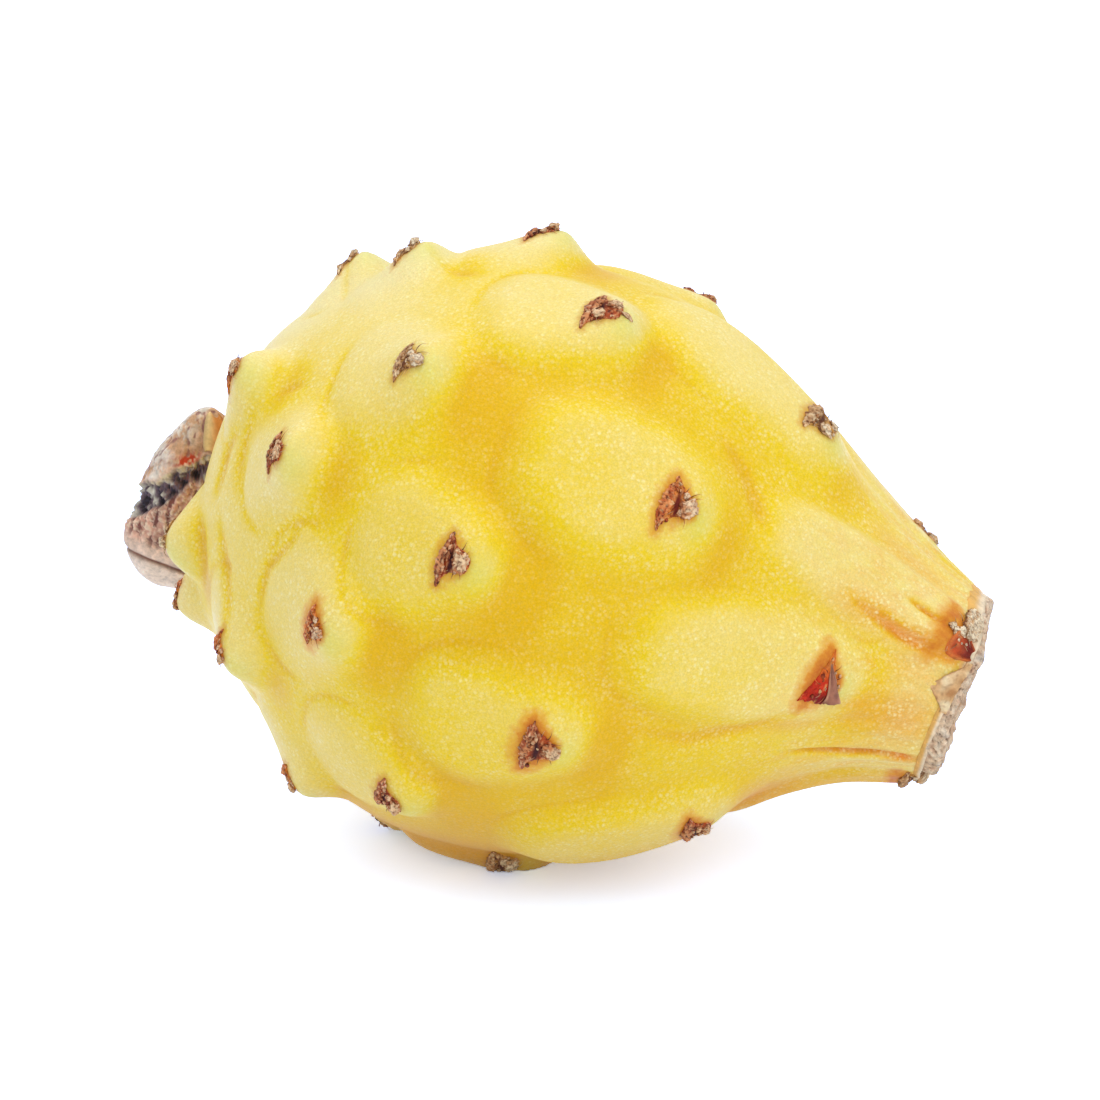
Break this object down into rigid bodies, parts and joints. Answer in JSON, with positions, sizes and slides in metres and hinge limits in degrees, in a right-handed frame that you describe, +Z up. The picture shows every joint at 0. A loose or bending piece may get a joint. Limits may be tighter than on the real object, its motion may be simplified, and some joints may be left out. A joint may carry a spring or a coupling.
{
  "type": "yellow dragon fruit",
  "caption": "Whole yellow dragon fruit on its side: knobbly egg-shaped body with dry areoles, a corky flower ring and a stub of climbing stem.",
  "frame": {"origin": "centre of the bounding box at its bottom, on the table plane under the fruit", "axes": "+X level along the fruit from the stem end to the flower end, +Z up, -Y toward the front side that shows the neck of the fruit on the right"},
  "size_m": [0.1054, 0.0762, 0.0757],
  "materials": {
    "skin": "waxy living fruit skin, satin, finely speckled",
    "dried_stem": "dried, fibrous, matt, with a glossy tan lobe",
    "cork": "rough porous cork with papery edges",
    "areole": "dry brown bract with beige wool and corky spine stubs"
  },
  "bodies": {
    "root": {"fruit_body": "skin", "stem_stub": "dried_stem", "flower_ring": "cork", "areole_01": "areole", "areole_02": "areole", "areole_03": "areole", "areole_04": "areole", "areole_05": "areole", "areole_06": "areole", "areole_07": "areole", "areole_08": "areole", "areole_09": "areole", "areole_10": "areole", "areole_11": "areole", "areole_12": "areole", "areole_13": "areole", "areole_14": "areole", "areole_15": "areole", "areole_16": "areole", "areole_17": "areole", "areole_18": "areole", "areole_19": "areole", "areole_20": "areole", "areole_21": "areole", "areole_22": "areole", "areole_23": "areole", "areole_24": "areole", "areole_25": "areole", "areole_26": "areole", "areole_27": "areole", "areole_28": "areole", "areole_29": "areole", "areole_30": "areole", "areole_31": "areole", "areole_32": "areole", "areole_33": "areole", "areole_34": "areole", "areole_35": "areole", "areole_36": "areole", "areole_37": "areole", "areole_38": "areole"}
  },
  "joints": []
}
